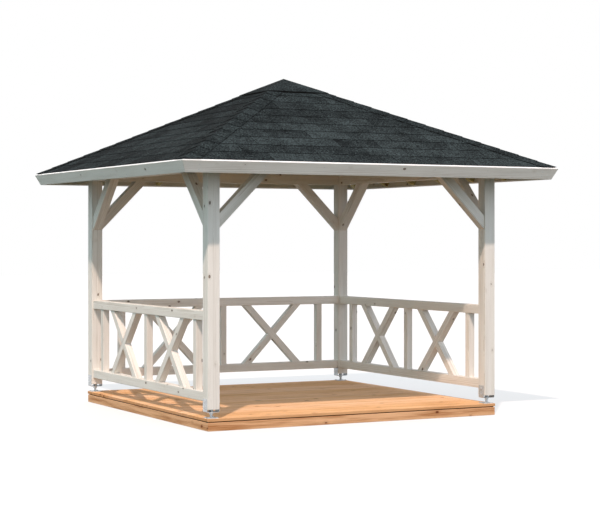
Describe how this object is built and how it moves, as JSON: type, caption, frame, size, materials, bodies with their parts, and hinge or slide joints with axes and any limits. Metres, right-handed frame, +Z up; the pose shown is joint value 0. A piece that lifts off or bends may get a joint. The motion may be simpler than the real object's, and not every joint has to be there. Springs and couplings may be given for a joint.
{
  "type": "garden gazebo",
  "caption": "Square open timber gazebo with a deck, corner posts on steel feet, crossed railings on the left, back and right, and a shingled pyramid roof.",
  "frame": {"origin": "centre of the deck's underside, at ground level", "axes": "+Z up, -Y towards the open front, +X to the right when facing the back"},
  "size_m": [4.05, 4.05, 3.4316],
  "materials": {
    "whitewashed_wood": "planed spruce with a thin white stain, satin",
    "bare_wood": "planed spruce, bare and matt",
    "deck_boards": "oiled warm brown softwood, satin",
    "deck_frame_wood": "oiled warm brown softwood, matt",
    "galvanised_steel": "hot-dip galvanised, dull",
    "shingle": "bitumen shingle with dark grey mineral grit, matt"
  },
  "bodies": {
    "root": {"deck_frame": "deck_frame_wood", "deck_floor": "deck_boards", "front_left_post": "whitewashed_wood", "front_right_post": "whitewashed_wood", "back_right_post": "whitewashed_wood", "back_left_post": "whitewashed_wood", "front_left_foot": "galvanised_steel", "front_right_foot": "galvanised_steel", "back_right_foot": "galvanised_steel", "back_left_foot": "galvanised_steel", "front_beam": "whitewashed_wood", "right_beam": "whitewashed_wood", "back_beam": "whitewashed_wood", "left_beam": "whitewashed_wood", "front_braces": "whitewashed_wood", "right_braces": "whitewashed_wood", "back_braces": "whitewashed_wood", "left_braces": "whitewashed_wood", "left_top_rail": "whitewashed_wood", "left_bottom_rail": "whitewashed_wood", "left_uprights": "whitewashed_wood", "left_crosses": "whitewashed_wood", "back_top_rail": "whitewashed_wood", "back_bottom_rail": "whitewashed_wood", "back_uprights": "whitewashed_wood", "back_crosses": "whitewashed_wood", "right_top_rail": "whitewashed_wood", "right_bottom_rail": "whitewashed_wood", "right_uprights": "whitewashed_wood", "right_crosses": "whitewashed_wood", "hip_rafters": "bare_wood", "rafters": "bare_wood", "peak_block": "bare_wood", "front_roof_boards": "bare_wood", "right_roof_boards": "bare_wood", "back_roof_boards": "bare_wood", "left_roof_boards": "bare_wood", "front_shingles": "shingle", "right_shingles": "shingle", "back_shingles": "shingle", "left_shingles": "shingle", "front_fascia": "whitewashed_wood", "right_fascia": "whitewashed_wood", "back_fascia": "whitewashed_wood", "left_fascia": "whitewashed_wood", "peak_cap": "shingle"}
  },
  "joints": []
}
